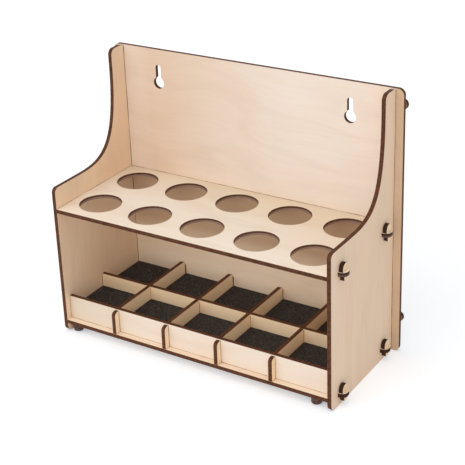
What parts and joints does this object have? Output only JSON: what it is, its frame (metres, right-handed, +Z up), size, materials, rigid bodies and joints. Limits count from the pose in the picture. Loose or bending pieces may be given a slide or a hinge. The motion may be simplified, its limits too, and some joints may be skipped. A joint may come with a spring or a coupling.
{
  "type": "hobby workstation organizer",
  "caption": "Flat-pack plywood bench organizer with a shelf of round bottle holes over foam-lined compartments, a high back with hanging keyholes and pull-out locking keys.",
  "frame": {"origin": "centre of the bounding box on the floor it stands on", "axes": "+X to the right along the width, +Y from the open front to the back panel, +Z up"},
  "size_m": [0.316, 0.1328, 0.2631],
  "materials": {
    "plywood": "bare birch plywood with laser-burnt dark edges",
    "foam": "dark closed-cell foam, matt",
    "foot": "dark brown, satin"
  },
  "bodies": {
    "organizer": {"side_panel_left": "plywood", "side_panel_right": "plywood", "back_panel": "plywood", "shelf": "plywood", "base_plate": "plywood", "front_strip": "plywood", "middle_strip": "plywood", "divider_1": "plywood", "divider_2": "plywood", "divider_3": "plywood", "divider_4": "plywood", "foam_pad_front_1": "foam", "foam_pad_front_2": "foam", "foam_pad_front_3": "foam", "foam_pad_front_4": "foam", "foam_pad_front_5": "foam", "foam_pad_back_1": "foam", "foam_pad_back_2": "foam", "foam_pad_back_3": "foam", "foam_pad_back_4": "foam", "foam_pad_back_5": "foam", "foot_front_left": "foot", "foot_front_right": "foot", "foot_rear_left": "foot", "foot_rear_right": "foot"},
    "key_shelf_front_left": {"key_shelf_front_left": "plywood"},
    "key_shelf_back_left": {"key_shelf_back_left": "plywood"},
    "key_base_front_left": {"key_base_front_left": "plywood"},
    "key_base_back_left": {"key_base_back_left": "plywood"},
    "key_shelf_front_right": {"key_shelf_front_right": "plywood"},
    "key_shelf_back_right": {"key_shelf_back_right": "plywood"},
    "key_base_front_right": {"key_base_front_right": "plywood"},
    "key_base_back_right": {"key_base_back_right": "plywood"},
    "key_back_upper_left": {"key_back_upper_left": "plywood"},
    "key_back_lower_left": {"key_back_lower_left": "plywood"},
    "key_back_upper_right": {"key_back_upper_right": "plywood"},
    "key_back_lower_right": {"key_back_lower_right": "plywood"}
  },
  "joints": [
    {"name": "key_shelf_front_left_pull", "type": "slide", "parent": "organizer", "child": "key_shelf_front_left", "axis": [0, 0, 1], "range_m": [0, 0.014]},
    {"name": "key_shelf_back_left_pull", "type": "slide", "parent": "organizer", "child": "key_shelf_back_left", "axis": [0, 0, 1], "range_m": [0, 0.014]},
    {"name": "key_base_front_left_pull", "type": "slide", "parent": "organizer", "child": "key_base_front_left", "axis": [0, 0, 1], "range_m": [0, 0.014]},
    {"name": "key_base_back_left_pull", "type": "slide", "parent": "organizer", "child": "key_base_back_left", "axis": [0, 0, 1], "range_m": [0, 0.014]},
    {"name": "key_shelf_front_right_pull", "type": "slide", "parent": "organizer", "child": "key_shelf_front_right", "axis": [0, 0, 1], "range_m": [0, 0.014]},
    {"name": "key_shelf_back_right_pull", "type": "slide", "parent": "organizer", "child": "key_shelf_back_right", "axis": [0, 0, 1], "range_m": [0, 0.014]},
    {"name": "key_base_front_right_pull", "type": "slide", "parent": "organizer", "child": "key_base_front_right", "axis": [0, 0, 1], "range_m": [0, 0.014]},
    {"name": "key_base_back_right_pull", "type": "slide", "parent": "organizer", "child": "key_base_back_right", "axis": [0, 0, 1], "range_m": [0, 0.014]},
    {"name": "key_back_upper_left_pull", "type": "slide", "parent": "organizer", "child": "key_back_upper_left", "axis": [-1, 0, 0], "range_m": [0, 0.014]},
    {"name": "key_back_lower_left_pull", "type": "slide", "parent": "organizer", "child": "key_back_lower_left", "axis": [-1, 0, 0], "range_m": [0, 0.014]},
    {"name": "key_back_upper_right_pull", "type": "slide", "parent": "organizer", "child": "key_back_upper_right", "axis": [1, 0, 0], "range_m": [0, 0.014]},
    {"name": "key_back_lower_right_pull", "type": "slide", "parent": "organizer", "child": "key_back_lower_right", "axis": [1, 0, 0], "range_m": [0, 0.014]}
  ]
}
